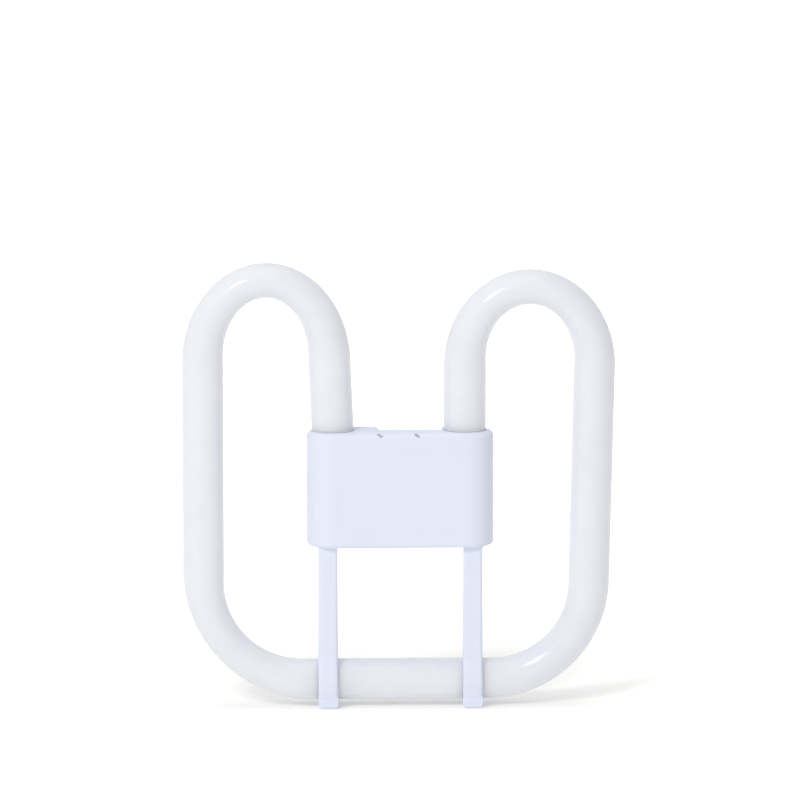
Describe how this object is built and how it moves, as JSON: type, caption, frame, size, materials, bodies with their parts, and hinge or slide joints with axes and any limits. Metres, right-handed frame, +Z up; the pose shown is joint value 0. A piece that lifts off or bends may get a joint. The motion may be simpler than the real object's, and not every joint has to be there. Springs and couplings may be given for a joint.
{
  "type": "square compact fluorescent lamp",
  "caption": "Square compact fluorescent lamp: a flat bent glass tube round a moulded base with clip arms in front and a plug-in contact boss behind.",
  "frame": {"origin": "middle of the contact pin pattern, on the boss face that seats in the lampholder", "axes": "+Y out of that face along the pins, +Z up with the lamp standing on its clip feet, +X to the right seen from the front"},
  "size_m": [0.1362, 0.0305, 0.1412],
  "materials": {
    "tube_glass": "white phosphor coat under clear glossy glass, opaque",
    "base_moulding": "bluish white moulded plastic, satin",
    "pin_brass": "plated brass",
    "lead_metal": "bare wire",
    "cement": "cured cement"
  },
  "bodies": {
    "root": {"discharge_tube": "tube_glass", "base_front": "base_moulding", "base_rear": "base_moulding", "contact_pin_1": "pin_brass", "contact_pin_2": "pin_brass", "contact_pin_3": "pin_brass", "contact_pin_4": "pin_brass", "lead_wire_1": "lead_metal", "lead_wire_2": "lead_metal", "lead_wire_3": "lead_metal", "lead_wire_4": "lead_metal", "tube_cement_left": "cement", "tube_cement_right": "cement"}
  },
  "joints": []
}
